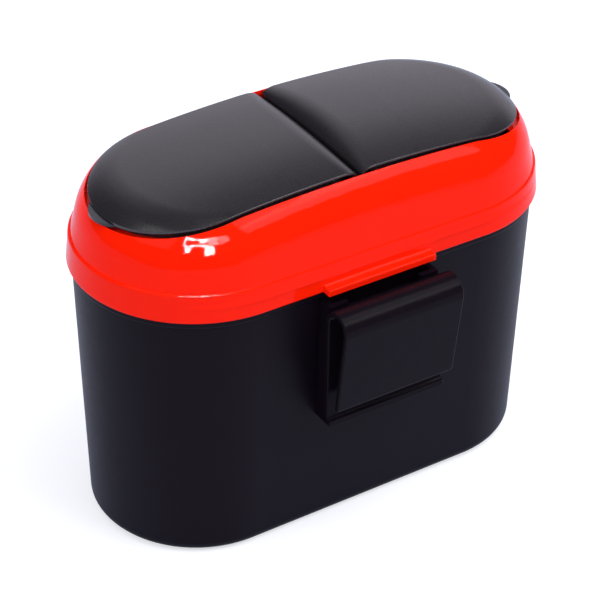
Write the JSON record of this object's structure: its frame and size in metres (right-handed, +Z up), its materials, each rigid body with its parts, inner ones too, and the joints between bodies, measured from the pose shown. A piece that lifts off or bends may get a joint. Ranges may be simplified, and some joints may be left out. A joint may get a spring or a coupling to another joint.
{
  "type": "car trash bin",
  "caption": "Covered waste bin for a car: rounded tub, push-on lid ring, two crowned flaps hinged at the middle of the mouth, and a clip that hooks over a door or seat pocket.",
  "frame": {"origin": "centre of the tub's flat base", "axes": "+Z up, X along the length, -Y towards the hanging clip"},
  "size_m": [0.2142, 0.1272, 0.1671],
  "materials": {
    "tub": "satin black moulded plastic",
    "ring": "gloss red moulded plastic",
    "clip": "gloss black moulded plastic",
    "flap_cover": "fine-grained dark grey moulded plastic",
    "flap_tray": "smooth blue-grey moulded plastic",
    "pin": "drawn steel wire"
  },
  "bodies": {
    "tub": {"bin_body": "tub", "hook_clip": "clip"},
    "lid": {"lid_ring": "ring"},
    "left_flap": {"left_flap_cover": "flap_cover", "left_flap_tray": "flap_tray", "left_hinge_pin": "pin"},
    "right_flap": {"right_flap_cover": "flap_cover", "right_flap_tray": "flap_tray", "right_hinge_pin": "pin"}
  },
  "joints": [
    {"name": "lid_lift", "type": "slide", "parent": "tub", "child": "lid", "axis": [0, 0, 1], "range_m": [0, 0.04]},
    {"name": "left_flap_hinge", "type": "hinge", "parent": "lid", "child": "left_flap", "pos_m": [-0.01, 0, 0.15812], "axis": [0, 1, 0], "range_deg": [0, 85]},
    {"name": "right_flap_hinge", "type": "hinge", "parent": "lid", "child": "right_flap", "pos_m": [0.01, 0, 0.15812], "axis": [0, -1, 0], "range_deg": [0, 85]}
  ]
}
